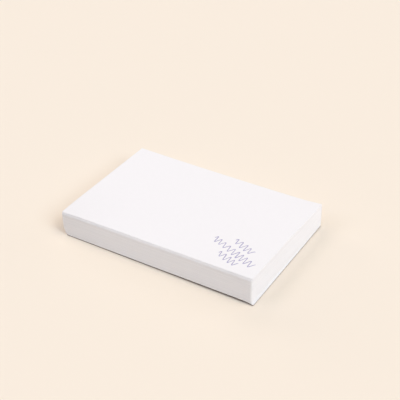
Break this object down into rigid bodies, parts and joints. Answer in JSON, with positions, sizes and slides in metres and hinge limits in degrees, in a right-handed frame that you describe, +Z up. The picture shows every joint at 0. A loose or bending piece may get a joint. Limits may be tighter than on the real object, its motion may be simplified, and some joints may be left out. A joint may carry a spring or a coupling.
{
  "type": "drawing pad",
  "caption": "Landscape drawing pad of plain white leaves, glued along one long edge onto a thin dark brown card back, with the free edge slightly sprung open.",
  "frame": {"origin": "middle of the underside of the whole pad, on the surface that it lies on", "axes": "+X along the long edges to the reader's right, +Y across the pad to the glued edge, +Z up out of the top leaf"},
  "size_m": [0.216, 0.1402, 0.0301],
  "materials": {
    "paper": "uncoated white drawing paper, matt, with a fine tooth",
    "greyboard": "uncoated recycled board, dark brown, matt, flecked with fibres",
    "padding_compound": "dried white padding compound, satin, with faint brush marks"
  },
  "bodies": {
    "root": {"page_block": "paper", "backing_board": "greyboard", "binding_film": "padding_compound"}
  },
  "joints": []
}
